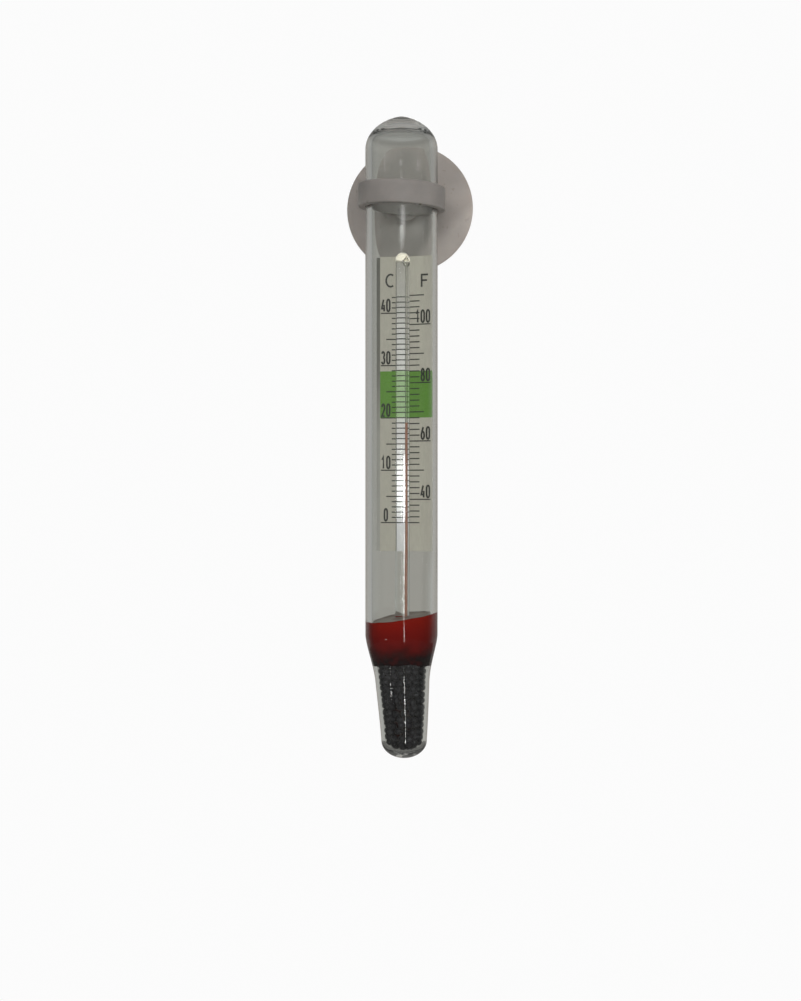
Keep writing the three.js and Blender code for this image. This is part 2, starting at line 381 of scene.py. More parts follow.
def grey_vinyl():
    """Soft smoky PVC, which light soaks a little way into. Painted shade makes the ring and neck darker
    than the rim, and painted light makes the lower right of the cup lightest.
    """
    material, tree, shader = principled(
        "grey_vinyl", (0.26, 0.24, 0.22), 0.36, Subsurface_Weight=0.45, Subsurface_Scale=0.0015,
    )
    shader.inputs["Subsurface Radius"].default_value = (1.0, 0.85, 0.75)
    place = object_place(tree, EVEN)
    cloud = noise_at(tree, place, 150, 4, 0.6)
    tint = ramp(tree, cloud, [(0.3, (0.215, 0.2, 0.186)), (0.7, (0.275, 0.25, 0.23))])
    point = axes(tree)
    # Painted shade: darker towards the front of the cup, at the ring and neck, and a little lighter at the
    # rim.
    thin = ramp(tree, spread(tree, point["Y"], -5.6 * MM, 0.0, 0, 1), [
        (0.0, (0.77, 0.78, 0.79)), (0.1, (0.77, 0.78, 0.79)), (0.25, 0.91),
        (0.45, 0.92), (0.75, 1), (1.0, (1.08, 1.06, 1.05)),
    ])
    # Painted light and shade across the cup: lightest at the lower right rim, a little darker towards the
    # upper left.
    slant = reckoned(tree, "SUBTRACT", point["Z"], point["X"])
    painted_light_slant = ramp(tree, spread(tree, slant, -12 * MM, 12 * MM, 0, 1), [
        (0.0, 1.4), (0.1, 1.08), (0.22, 1.12), (0.5, 0.97), (0.7, 1.05), (1.0, (0.95, 0.955, 0.96)),
    ])
    tree.links.new(product(tree, product(tree, tint, thin), painted_light_slant), shader.inputs["Base Color"])
    cloudy_roughness(tree, shader, place, 700, 4, 0.26, 0.42)
    bump(tree, shader, noise_at(tree, place, 1500, 3), 0.00002, 0.3)
    return material


def card_paper():
    """Cream paper with painted shade in narrow bands beside the white stripe, where the rod in front
    spreads the light into dark bands, and painted light making it a little paler to the right of the
    stripe.
    """
    material, tree, shader = principled("card_paper", (0.6, 0.58, 0.5), 0.75)
    fibre = noise_at(tree, object_place(tree, (1, 1, 0.25)), 2500, 5, 0.7)
    tint = ramp(tree, fibre, [(0.25, (0.317, 0.304, 0.258)), (0.75, (0.383, 0.367, 0.311))])
    # Painted shade in two narrow bands beside the stripe, and painted light making the paper a little paler
    # to its right.
    shade = ramp(tree, spread(tree, axes(tree)["X"], -1 * MM, 1 * MM, 0, 1), [
        (0.0, 0.97), (0.22, 0.97), (0.27, 0.5), (0.45, 0.5),
        (0.51, (0.25, 0.24, 0.23)), (0.64, (0.25, 0.24, 0.23)), (0.72, 0.97), (1.0, 1.03),
    ])
    tree.links.new(product(tree, tint, shade), shader.inputs["Base Color"])
    bump(tree, shader, fibre, 0.00003, 0.5)
    return material


def stripe_white():
    """A pale stripe of painted light behind the rod, where its lens gathers the flash: brightest near the
    flash's height and dimmer towards both ends. It is green where it crosses the band.
    """
    material, tree, shader = principled("stripe_white", (0.9, 0.9, 0.88), 0.5)
    # Painted light along the stripe: brightest near the flash's height, dimmer towards both ends, and green
    # across the band.
    along = ramp(tree, along_card(tree), [
        (0.0, 0.52), (0.1, 0.55), (0.213, (1, 1, 0.98)), (0.32, (0.68, 0.67, 0.66)),
        (0.452, (0.57, 0.56, 0.54)), (0.4545, (0.28, 0.41, 0.21)), (0.61, (0.28, 0.41, 0.21)),
        (0.6125, (0.56, 0.55, 0.53)), (0.75, (0.49, 0.48, 0.46)), (0.86, (0.36, 0.35, 0.32)),
        (1.0, (0.28, 0.27, 0.24)),
    ])
    spots = noise_at(tree, object_place(tree, (1, 1, 0.3)), 1600, 3)
    worn = ramp(tree, spots, [(0.3, (0.9, 0.9, 0.92)), (0.6, 1)])
    tree.links.new(product(tree, along, worn), shader.inputs["Base Color"])
    return material


def ink(name, colour):
    """Printing ink: dense, with the paper's fibre just showing."""
    material, tree, shader = principled(name, colour, 0.55)
    fibre = noise_at(tree, object_place(tree, EVEN), 3500, 4, 0.7)
    lighter = tuple(min(1, c * 1.35 + 0.004) for c in colour)
    tree.links.new(ramp(tree, fibre, [(0.3, colour), (0.8, lighter)]), shader.inputs["Base Color"])
    bump(tree, shader, fibre, 0.00002, 0.3)
    return material


def red_wax():
    """Red sealing wax: bright at its top, and dark at its foot where balls of shot show through it."""
    material, tree, shader = principled(
        "red_wax", (0.12, 0.008, 0.005), 0.45, Specular_IOR_Level=0.0,
    )
    place = object_place(tree, EVEN)
    wobble = spread(tree, noise_at(tree, place, 260, 3), 0.2, 0.8, -1.2 * MM, 1.2 * MM)
    uneven = reckoned(tree, "ADD", axes(tree)["Z"], wobble)
    height = spread(tree, uneven, WAX_LOW.z * MM, WAX_HIGH.z * MM, 0, 1)
    tint = ramp(tree, height, [
        (0.0, (0.012, 0.003, 0.003)), (0.2, (0.05, 0.004, 0.003)),
        (0.42, (0.105, 0.005, 0.004)), (0.9, (0.18, 0.008, 0.004)),
    ])
    balls = tree.nodes.new("ShaderNodeTexVoronoi")
    balls.inputs["Scale"].default_value = 950
    tree.links.new(place, balls.inputs["Vector"])
    round_tone = ramp(tree, balls.outputs["Distance"], [
        (0.0, (0.014, 0.012, 0.012)), (0.5, (0.01, 0.006, 0.006)), (0.8, (0.03, 0.005, 0.005)),
    ])
    buried = ramp(tree, height, [(0.0, 1), (0.12, 1), (0.34, 0)])
    tree.links.new(mixed(tree, buried, tint, round_tone), shader.inputs["Base Color"])
    cloudy_roughness(tree, shader, place, 900, 4, 0.3, 0.5)
    bump(tree, shader, noise_at(tree, place, 500, 3), 0.0001, 0.4)
    return material


def wax_film():
    """The dull grey-brown skin of the wax, shiny where it is seen at a slant."""
    material, tree, shader = principled("wax_film", (0.12, 0.09, 0.07), 0.3)
    cloud = noise_at(tree, object_place(tree, EVEN), 500, 4)
    tint = ramp(tree, cloud, [(0.3, (0.1, 0.07, 0.055)), (0.7, (0.15, 0.12, 0.095))])
    tree.links.new(tint, shader.inputs["Base Color"])
    bump(tree, shader, cloud, 0.00006, 0.5)
    return material


def dyed_spirit(name, colour, roughness, dark, light):
    """Spirit with a dye that isn't quite even."""
    material, tree, shader = principled(name, colour, roughness)
    cloud = noise_at(tree, object_place(tree, EVEN), 400, 2)
    tree.links.new(ramp(tree, cloud, [(0.3, dark), (0.7, light)]), shader.inputs["Base Color"])
    return material


def grey_stiffener():
    """A grey strip of painted shadow for the dark gap beside the card's left edge, paler towards the foot
    of the card.
    """
    material, tree, shader = principled("grey_stiffener", (0.14, 0.135, 0.12), 0.8)
    fibre = noise_at(tree, object_place(tree, (1, 1, 0.25)), 2500, 4, 0.7)
    tint = ramp(tree, fibre, [(0.3, 0.9), (0.7, 1)])
    # Painted shade: darkest towards the top of the card, paler towards its foot.
    painted_shade_along_card = ramp(tree, along_card(tree), [
        (0.0, (0.3, 0.295, 0.27)), (0.4, (0.27, 0.265, 0.24)),
        (0.6, (0.15, 0.147, 0.13)), (1.0, (0.11, 0.107, 0.095)),
    ])
    tree.links.new(product(tree, painted_shade_along_card, tint), shader.inputs["Base Color"])
    bump(tree, shader, fibre, 0.00003, 0.4)
    return material


def black_shot():
    """Blackened shot: dark, half polished by rolling, with a grey that changes from ball to ball."""
    material, tree, shader = principled("black_shot", (0.01, 0.01, 0.012), 0.5, Specular_IOR_Level=0.25)
    place = object_place(tree, EVEN)
    cloud = noise_at(tree, place, 600, 3)
    tint = ramp(tree, cloud, [(0.3, (0.003, 0.003, 0.004)), (0.7, (0.011, 0.011, 0.013))])
    tree.links.new(tint, shader.inputs["Base Color"])
    cloudy_roughness(tree, shader, place, 1800, 3, 0.4, 0.6)
    bump(tree, shader, noise_at(tree, place, 2200, 3), 0.00004, 0.5)
    return material


# ---- the glass envelope ----

def nose_profile(base, tip_radius, top_radius, tube_radius, fineness, roundness=0.55, tip_height=3.0):
    """From the foot of the nose round its tip, up its taper and over the shoulder to the tube."""
    taper_top = TUBE_BOTTOM + NOSE_TAPER
    belly = (tip_radius, base + tip_height)
    before_belly = (tip_radius, base + tip_height * (1 - roundness))
    shoulder = (tube_radius, TUBE_BOTTOM + NOSE_LENGTH)
    fine = 2 * fineness
    return trace(
        (0.0, base),
        ((tip_radius * roundness, base), before_belly, belly, fine),
        ((top_radius, taper_top), fineness),
        ((top_radius + 0.12, taper_top + 3.3), (tube_radius - 0.15, taper_top + 6.4), shoulder, fine),
    )


def inner_wall(fineness=12):
    return nose_profile(
        TUBE_BOTTOM + NOSE_BASE_GLASS, NOSE_TIP_RADIUS - NOSE_WALL, NOSE_TOP_RADIUS - NOSE_WALL,
        BORE, fineness, 0.66, 2.2,
    )


def inner_radius(z):
    """Radius of the envelope's inside at a height on the nose."""
    wall = inner_wall()
    for (r0, z0), (r1, z1) in zip(wall, wall[1:]):
        if z0 <= z <= z1:
            return r0 + (r1 - r0) * (z - z0) / max(z1 - z0, 1e-9)
    return BORE if z > wall[-1][1] else 0.0


def rippled(r, z):
    """The dome's faint rings, which fade out at the tube and at the seal bead."""
    share = smoothstep(*RIPPLE_START, r) * smoothstep(*RIPPLE_END, r)
    return r, z + RIPPLE_HEIGHT * math.sin(z * RIPPLE_TURNS) * share


def envelope_outside():
    dome_base = TUBE_TOP - DOME_HEIGHT
    bead = (0.8, TUBE_TOP - 0.13)
    points = nose_profile(TUBE_BOTTOM, NOSE_TIP_RADIUS, NOSE_TOP_RADIUS, TUBE_RADIUS, 14)
    points += line(points[-1], (TUBE_RADIUS, dome_base), 24)
    pulls = (TUBE_RADIUS, dome_base + 2.7), (3.7, TUBE_TOP - 0.85)
    points += [rippled(r, z) for r, z in bezier((TUBE_RADIUS, dome_base), *pulls, bead, 60)]
    points += bezier(bead, (0.5, TUBE_TOP - 0.09), (0.25, TUBE_TOP - 0.08), (0.0, TUBE_TOP - 0.08), 4)
    return points


def envelope_inside():
    roof = TUBE_TOP - DOME_GLASS
    tube = inner_wall(14)
    return tube[:-1] + trace(
        tube[-1],
        ((BORE, roof - 2.6), 24),
        ((BORE, roof - 1.1), (4.5, roof - 0.3), (2.8, roof - 0.15), 22),
        ((1.9, roof - 0.06), (1, roof), (0, roof), 14),
    )


def bore_place(x, y, z):
    """Over the height of the card the bore is a little wider, and runs to the right of the outside."""
    share = smoothstep(*SWELL_FOOT, z) * smoothstep(*SWELL_TOP, z)
    wider = 1 + BORE_SWELL / BORE * share
    return x * wider + BORE_SHIFT * share, y * wider, z


def glass_envelope(material):
    segments = 144
    outside = revolve(envelope_outside(), segments)
    inside = moved(inside_out(revolve(envelope_inside(), segments)), bore_place)
    found = clear_piece("envelope_glass", moved(joined(outside, inside), on_tube_axis), material)
    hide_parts("glass_envelope")
    return found


def seal_bead(material):
    """The little button left at the point of the dome where the tube was sealed off."""
    top = TUBE_TOP
    profile = trace(
        (0.0, top - 0.06),
        ((0.3, top - 0.06), (0.6, top - 0.08), (0.72, top - 0.09), 5),
        ((0.6, top - 0.03), (0.3, top), (0.0, top), 6),
    )
    found = clear_piece("seal_bead", moved(revolve(profile, 48), on_tube_axis), material, "tube_carrier")
    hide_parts("glass_seal_tip")
    return found


# ---- capillary and spirit ----

BORE_RADIUS = 0.165
SPIRIT_RADIUS = 0.172
BORE_OFFSET = 0.46
CHAMBER_TOP = STEM_HIGH.z - 0.75
CHAMBER_LENGTH = 1.7
BULB_WALL = 0.25
ROD_OFFSET = 0.16
ROD_FORWARD = 0.2
FROST_LIFT = 0.012
FROST_SKIRT = 1.15


def in_bore(x, y, z):
    """The bore lies a little to the right in its rod, and comes back to the middle at the bulb."""
    return x + BORE_OFFSET * smoothstep(BULB_HIGH.z - 0.5, BULB_HIGH.z + 6, z), y, z


def on_rod(x, y, z):
    """Places a point of the rod. Above the wax it stands a little forward and to the right of the axis."""
    share = smoothstep(BULB_HIGH.z + 1, BULB_HIGH.z + 9, z)
    return on_tube_axis(x + ROD_OFFSET * share, y - ROD_FORWARD * share, z)


def capillary(material):
    """The rod and its bulb, and inside them the hollow bulb, the bore and a small chamber at the top."""
    shoulder = 1.1
    foot, neck, top = BULB_LOW.z, BULB_HIGH.z, STEM_HIGH.z
    outside = trace(
        (0.0, foot),
        ((BULB_RADIUS * 0.7, foot), (BULB_RADIUS, foot + 0.4), (BULB_RADIUS, foot + shoulder), 8),
        ((BULB_RADIUS, neck - shoulder), 6),
        ((BULB_RADIUS, neck), (STEM_RADIUS, neck - 0.2), (STEM_RADIUS, neck + 0.8), 8),
        ((STEM_RADIUS, top - STEM_RADIUS), 40),
        ((STEM_RADIUS, top - 0.5), (0.7, top), (0, top), 14),
    )
    room = BULB_RADIUS - BULB_WALL
    floor, ceiling = foot + 0.3, neck - 0.3
    chamber = CHAMBER_TOP - CHAMBER_LENGTH
    belly = CHAMBER_TOP - CHAMBER_LENGTH * 0.5
    inside = trace(
        (0.0, floor),
        ((room * 0.7, floor), (room, floor + 0.4), (room, floor + shoulder), 8),
        ((room, ceiling - shoulder), 6),
        ((room, ceiling - 0.2), (BORE_RADIUS, ceiling - 0.1), (BORE_RADIUS, ceiling + 0.6), 8),
        ((BORE_RADIUS, chamber), 40),
        ((0.3, chamber + 0.1), (0.6, belly - 0.12), (0.62, belly), 8),
        ((0.6, belly + 0.12), (0.12, CHAMBER_TOP - 0.05), (0, CHAMBER_TOP), 8),
    )
    bore = moved(inside_out(revolve(inside, 32)), in_bore)
    found = clear_piece("capillary_tube", moved(joined(revolve(outside, 64), bore), on_rod), material)
    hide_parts("capillary_stem", "capillary_bulb")
    return found


def frosted_end(material):
    """The melted end of the rod, rough glass whose white is a painted glow of the light its end gathers: a
    cap that reaches further down behind the chamber.
    """
    top = STEM_HIGH.z
    crown = top + FROST_LIFT
    foot = (STEM_RADIUS * 0.9, top - 0.7)
    outer = trace(foot, ((STEM_RADIUS * 0.75, top - 0.3), (0.62, crown), (0, crown), 10))
    inner = [(max(r - 0.03, 0), z - 0.04) for r, z in outer]

    def lower_at_back(x, y, z):
        behind = max(y, 0) / STEM_RADIUS
        return x, y, crown - (crown - z) * (1 + FROST_SKIRT * behind)

    shell = moved(revolve(inner[::-1] + outer, 48), lower_at_back)
    return clear_piece("frosted_end", moved(shell, on_rod), material)


def spirit(material):
    """The column from the bulb to the meniscus: its top follows the thread and its foot stays."""
    low, high = SPIRIT_FOOT, MENISCUS
    profile = [(0.0, low)] + trace(
        (SPIRIT_RADIUS, low),
        ((SPIRIT_RADIUS, high), 120),
        ((SPIRIT_RADIUS * 0.8, high - 0.08), (0.05, high - 0.1), (0, high - 0.1), 5),
    )
    column = moved(moved(revolve(profile, 24), in_bore), on_rod)
    found = piece("spirit_in_bore", column, material, None)
    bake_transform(found)
    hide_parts("spirit_column", "spirit_thread")
    return found


# ---- card and printing ----

CARD_FRONT = CARD_LOW.y
CARD_THICKNESS = 0.12
CARD_SHIFT = -0.26
CARD_MARGIN = CARD_LOW.x + 0.2
CARD_EDGE = 5.6
CREASE = 1.0
CREASE_SLOPE = math.tan(math.radians(16))
# The left edge of the grey strip of painted shadow behind the card.
SHADOW_STRIP_EDGE = -4.6
STRIPE_LEFT, STRIPE_RIGHT = -0.12, 0.05

DEGREE = 0.9023
ZERO_Z = -55.81
INK_HEIGHT = 0.012
INK_FRONT = CARD_FRONT - INK_HEIGHT
TICK_WIDTH = 0.2
LEFT_START, LEFT_SHORT, LEFT_MID, LEFT_LONG = 0.75, -1.7, -2.69, -3.7
RIGHT_START, RIGHT_SHORT, RIGHT_MID, RIGHT_LONG = 1.5, 3.25, 4.05, 5.2
DIGIT_WIDTH, DIGIT_HEIGHT, DIGIT_GAP = 0.6, 2.05, 0.33
STROKE = 0.31
ABOVE_TICK = 0.32


def slab(low_x, high_x, low_z, high_z, front, back):
    """A box between two faces of constant Y."""
    xs, ys, zs = (low_x, high_x), (front, back), (low_z, high_z)
    verts = [(x, y, z) for x in xs for y in ys for z in zs]
    faces = [(0, 1, 3, 2), (4, 6, 7, 5), (0, 4, 5, 1), (2, 3, 7, 6), (0, 2, 6, 4), (1, 5, 7, 3)]
    return verts, faces


def ribbon(points, closed):
    """A pen stroke of even width along (x, z) points, as a thin solid of ink."""
    count = len(points)
    verts = []
    for i, (x, z) in enumerate(points):
        before = points[i - 1] if i > 0 or closed else points[i]
        after = points[(i + 1) % count] if i < count - 1 or closed else points[i]
        ux, uz = x - before[0], z - before[1]
        vx, vz = after[0] - x, after[1] - z
        ul, vl = math.hypot(ux, uz) or 1, math.hypot(vx, vz) or 1
        tx, tz = ux / ul + vx / vl, uz / ul + vz / vl
        tl = math.hypot(tx, tz) or 1
        nx, nz = -tz / tl, tx / tl
        cosine = 1.0
        if (ux or uz) and (vx or vz):
            cosine = max(0.4, abs(nx * -vz / vl + nz * vx / vl))
        half = STROKE / 2 / cosine
        lx, lz = x + nx * half, z + nz * half
        rx, rz = x - nx * half, z - nz * half
        verts += [(lx, INK_FRONT, lz), (rx, INK_FRONT, rz), (rx, CARD_FRONT, rz), (lx, CARD_FRONT, lz)]
    faces = []
    for i in range(count if closed else count - 1):
        a, b = 4 * i, 4 * ((i + 1) % count)
        for k in range(4):
            m = (k + 1) % 4
            faces.append((a + k, a + m, b + m, b + k))
    if not closed:
        end = 4 * (count - 1)
        faces += [(3, 2, 1, 0), (end, end + 1, end + 2, end + 3)]
    return verts, faces


def arc(cx, cz, rx, rz, start, end, steps=10):
    found = []
    for i in range(steps + 1):
        angle = math.radians(start + (end - start) * i / steps)
        found.append((cx + rx * math.cos(angle), cz + rz * math.sin(angle)))
    return found


def loop(cx, cz, rx, rz):
    return arc(cx, cz, rx, rz, 0, 360, 20)[:-1]


def glyph(character):
    """Strokes of a narrow digit or letter in a box 1 wide and 1 high, and whether each closes."""
    if character == "0":
        return [(arc(0.5, 0.72, 0.42, 0.28, 0, 180) + arc(0.5, 0.28, 0.42, 0.28, 180, 360), True)]
    if character == "1":
        return [([(0.15, 0.72), (0.55, 1.0), (0.55, 0.0)], False)]
    if character == "2":
        return [(arc(0.5, 0.7, 0.4, 0.3, 170, -30) + [(0.08, 0.0), (0.94, 0.0)], False)]
    if character == "3":
        upper = arc(0.46, 0.76, 0.38, 0.24, 160, -80)
        lower = arc(0.46, 0.27, 0.44, 0.27, 80, -160)
        return [(upper, False), (lower, False)]
    if character == "4":
        return [([(0.78, 0.0), (0.78, 0.55)], False), ([(0.6, 1.0), (0.05, 0.24), (1.0, 0.24)], False)]
    if character == "6":
        return [(loop(0.5, 0.31, 0.42, 0.31), True), ([(0.64, 1.0), (0.3, 0.66), (0.1, 0.38)], False)]
    if character == "8":
        return [(loop(0.5, 0.77, 0.34, 0.23), True), (loop(0.5, 0.27, 0.42, 0.27), True)]
    if character == "C":
        return [(arc(0.56, 0.5, 0.5, 0.5, 55, 305, 20), False)]
    if character == "F":
        return [([(0.1, 0.0), (0.1, 1.0), (0.95, 1.0)], False), ([(0.1, 0.54), (0.8, 0.54)], False)]
    raise ValueError(character)


def lettering(text, left, bottom, width, height):
    """The strokes of a text whose first character has its lower left corner at left and bottom."""
    shells = []
    for i, character in enumerate(text):
        x0 = left + i * (width + DIGIT_GAP)
        for points, closed in glyph(character):
            shells.append(ribbon([(x0 + px * width, bottom + pz * height) for px, pz in points], closed))
    return shells


def scale_marks():
    """Ticks and numbers: each degree Celsius on the left, each second degree Fahrenheit on the right."""
    shells = []

    def tick(x0, x1, z):
        shells.append(slab(x0, x1, z - TICK_WIDTH / 2, z + TICK_WIDTH / 2, INK_FRONT, CARD_FRONT))

    def number(value, right, z):
        """A number above its tick, with its last digit ending at right."""
        text = str(value)
        wide = len(text) * DIGIT_WIDTH + (len(text) - 1) * DIGIT_GAP
        shells.extend(lettering(text, right - wide, z + ABOVE_TICK, DIGIT_WIDTH, DIGIT_HEIGHT))

    def celsius(degree):
        return ZERO_Z + degree * DEGREE

    def fahrenheit(degree):
        return ZERO_Z + (degree - 32) / 1.8 * DEGREE

    for degree in range(0, 44):
        end = LEFT_LONG if degree % 10 == 0 else LEFT_MID if degree % 5 == 0 else LEFT_SHORT
        tick(end, LEFT_START, celsius(degree))
    for degree in range(32, 111, 2):
        end = RIGHT_LONG if degree % 20 == 0 else RIGHT_MID if degree % 10 == 0 else RIGHT_SHORT
        tick(RIGHT_START, end, fahrenheit(degree))
    for degree in (0, 10, 20, 30, 40):
        nudge = 0.45 if degree == 0 else 0
        number(degree, LEFT_SHORT - 0.32 - nudge, celsius(degree))
    for degree in (40, 60, 80, 100):
        number(degree, RIGHT_LONG - 0.14, fahrenheit(degree))
    shells.extend(lettering("C", -2.8, -15.15, 1.6, 2.1))
    shells.extend(lettering("F", 3.5, -15.35, 1.35, 2.1))
    return joined(*shells)


def on_card(x, y, z):
    """Places a point of the card, which is creased behind the rod so that its right part comes forward."""
    return x + AXIS_X + CARD_SHIFT, y - max(x - CREASE, 0) * CREASE_SLOPE, z


def card_sheet(low_z, high_z, lift, depth, inset):
    """The creased card, or a band of ink that stands proud of it by lift and keeps inset from its edges."""
    front, back = CARD_FRONT - lift, CARD_FRONT + depth
    left, right = CARD_MARGIN + inset, CARD_EDGE - inset
    verts = [(x, y, z) for x in (left, CREASE, right) for y in (front, back) for z in (low_z, high_z)]
    faces = [(0, 1, 3, 2), (8, 10, 11, 9)]
    for a in (0, 4):
        for p, q, r, s in ((0, 4, 5, 1), (2, 3, 7, 6), (0, 2, 6, 4), (1, 5, 7, 3)):
            faces.append((a + p, a + q, a + r, a + s))
    return moved((verts, faces), on_card)


def card_piece(name, shell, material):
    return piece(name, shell, material, "thermometer", smooth=False)


def printed_card(paper, black, green, grey, pale):
    """The card with all that is printed on it, and a grey strip of painted shadow behind its left edge.
    Returns the white stripe.
    """
    low, high = CARD_LOW.z, CARD_HIGH.z
    sheet = card_piece("card_paper", card_sheet(low, high, 0, CARD_THICKNESS, 0), paper)
    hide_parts("scale_card")
    card_piece("card_printing", moved(scale_marks(), on_card), black)
    band_low, band_high = ZERO_Z + 20 * DEGREE, ZERO_Z + 28.9 * DEGREE
    band_sheet = card_sheet(band_low, band_high, INK_HEIGHT / 2, CARD_THICKNESS / 4, 0.02)
    card_piece("card_green_band", band_sheet, green)
    stripe = slab(STRIPE_LEFT, STRIPE_RIGHT, low, high, CARD_FRONT - INK_HEIGHT * 0.75, CARD_FRONT)
    white = card_piece("card_white_stripe", stripe, pale)
    back = CARD_FRONT + CARD_THICKNESS
    # A grey strip of painted shadow behind the card's left edge, showing in the gap between the card and
    # the glass.
    strip = slab(SHADOW_STRIP_EDGE, CARD_LOW.x + 0.9, low + 0.1, high - 0.1, back + 0.02, back + 0.14)
    card_piece("card_gap_shadow", moved(strip, on_card), grey)
    return white


# ---- wax and shot ----

WAX_TOP = -72.2
WAX_SLANT_RIGHT = math.tan(math.radians(8.5))
WAX_SLANT_BACK = math.tan(math.radians(4))
WAX_CONTACT = 0.03
FILM_LIFT = 0.02
FILM_DEPTH = 0.05
SHOT_RADIUS = 0.6

# Spacing of the balls of shot, in ball radii: along a ring, from ring to ring and from layer to layer.
BALL_PITCH = 2.06
RING_PITCH = 1.85
LAYER_PITCH = 1.72


def turned(radius, segments):
    """Points of a circle about the tube's axis."""
    angles = [2 * math.pi * j / segments for j in range(segments)]
    return [(radius * math.cos(a), radius * math.sin(a)) for a in angles]


def add_ring(verts, points):
    """Adds a ring of points to a mesh and gives their numbers."""
    verts.extend(points)
    return list(range(len(verts) - len(points), len(verts)))


def wax_plug(material):
    """Fills the tube against the glass; its top slants and its foot sags between the balls of shot."""
    segments, steps, rings = 96, 26, 10
    foot = WAX_LOW.z
    edges = []
    for c, s in turned(1, segments):
        sag = 0.55 * noise.noise(Vector((c * 1.7, s * 1.7, 3.0)))
        edges.append((c, s, foot + sag, wax_top(BORE * c, BORE * s)))
    verts, rows = [], []
    for i in range(steps + 1):
        points = []
        for c, s, edge_foot, edge_top in edges:
            z = edge_foot + (edge_top - edge_foot) * i / steps
            r = inner_radius(z) + WAX_CONTACT
            points.append((r * c, r * s, z))
        rows.append(add_ring(verts, points))
    for k in range(1, rings):
        circle = turned(BORE * (1 - k / rings), segments)
        rows.append(add_ring(verts, [(x, y, wax_top(x, y)) for x, y in circle]))
    faces = []
    for low, high in zip(rows, rows[1:]):
        faces += band(low, high)
    centre_top, centre_foot = add_ring(verts, [(0, 0, WAX_TOP + 0.3), (0, 0, foot)])
    faces += fan(centre_top, rows[-1])
    faces += fan(centre_foot, rows[0][::-1])
    found = piece("wax_fill", moved((verts, faces), on_tube_axis), material, "thermometer")
    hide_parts("wax_plug")
    return found


def wax_top(x, y):
    """Height of the wax surface: slanted, lumpy, creeping up the glass and the rod."""
    r = math.hypot(x, y)
    creep = 0.22 * math.exp(-max(BORE - r, 0) / 0.35)
    climb = 0.3 * math.exp(-max(r - STEM_RADIUS, 0) / 0.3)
    lumps = 0.1 * noise.noise(Vector((x * 0.6, y * 0.6, 9.0)))
    return WAX_TOP + x * WAX_SLANT_RIGHT + y * WAX_SLANT_BACK + creep + climb + lumps


def wax_skin(material):
    """The dusty film that set on top of the wax."""
    segments, rings = 96, 12
    start, end = STEM_RADIUS * 0.9, BORE - 0.02
    verts, under, over = [], [], []
    for k in range(rings + 1):
        circle = turned(start + (end - start) * k / rings, segments)
        for rows, lift in ((under, FILM_LIFT), (over, FILM_LIFT + FILM_DEPTH)):
            rows.append(add_ring(verts, [(x, y, wax_top(x, y) + lift) for x, y in circle]))
    faces = []
    strips = list(zip(over[1:], over)) + list(zip(under, under[1:]))
    for low, high in strips + [(over[0], under[0]), (under[-1], over[-1])]:
        faces += band(low, high)
    return piece("wax_skin", moved((verts, faces), on_tube_axis), material, "thermometer")


def ball(centre, radius, rings=10, segments=14):
    turns = [math.pi * i / rings for i in range(1, rings)]
    profile = [(radius * math.sin(t), -radius * math.cos(t)) for t in turns]
    cx, cy, cz = centre
    shell = revolve([(0.0, -radius)] + profile + [(0.0, radius)], segments)
    return moved(shell, lambda x, y, z: (x + cx, y + cy, z + cz))


def balls_round(circle, radius):
    """How many balls fit round a circle with a little play."""
    return max(3, int(2 * math.pi * circle / (BALL_PITCH * radius)))


def shot_centres(radius):
    """Layers of balls against the glass, with a second ring wherever the bulb leaves room."""
    rng = random.Random(SEED)
    centres = []
    z = TUBE_BOTTOM + NOSE_BASE_GLASS + radius + 0.03
    turn = 0.0
    while z < SHOT_TOP + 0.3:
        outer = inner_radius(z - radius * 0.3) - radius - 0.01
        circle = outer
        hub = BULB_RADIUS if z > BULB_LOW.z - radius * 0.6 else 0.0
        while circle > hub + radius * 0.25 or (hub == 0.0 and circle > radius * 0.7):
            count = balls_round(circle, radius)
            for j in range(count):
                angle = turn + 2 * math.pi * (j + rng.uniform(-0.1, 0.1)) / count
                r = circle - rng.uniform(0, 0.07)
                centres.append((r * math.cos(angle), r * math.sin(angle), z + rng.uniform(-0.16, 0.16)))
            circle -= RING_PITCH * radius
            turn += 0.9
        if hub == 0.0:
            centres.append((rng.uniform(-0.1, 0.1), rng.uniform(-0.1, 0.1), z))
        z += LAYER_PITCH * radius
        turn += math.pi / balls_round(outer, radius)
    return centres


def shot(material):
    """Balls that differ a little in size."""
    rng = random.Random(SEED + 1)
    shells = [ball(c, SHOT_RADIUS * rng.uniform(0.93, 1.03)) for c in shot_centres(SHOT_RADIUS)]
    found = piece("shot_balls", moved(joined(*shells), on_tube_axis), material, "thermometer")
    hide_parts("ballast_shot")
    return found


# ---- suction cup ----

CUP_NECK_END = -5.9
CUP_CROWN = -3.9
CUP_HOLLOW = -2.3
NECK_RADIUS = 2.6
RING_BORE = TUBE_RADIUS + 0.1
RING_OUTER = RING_BORE + 1.2
RING_HALF = 2.0
RING_TILT = math.tan(math.radians(3))


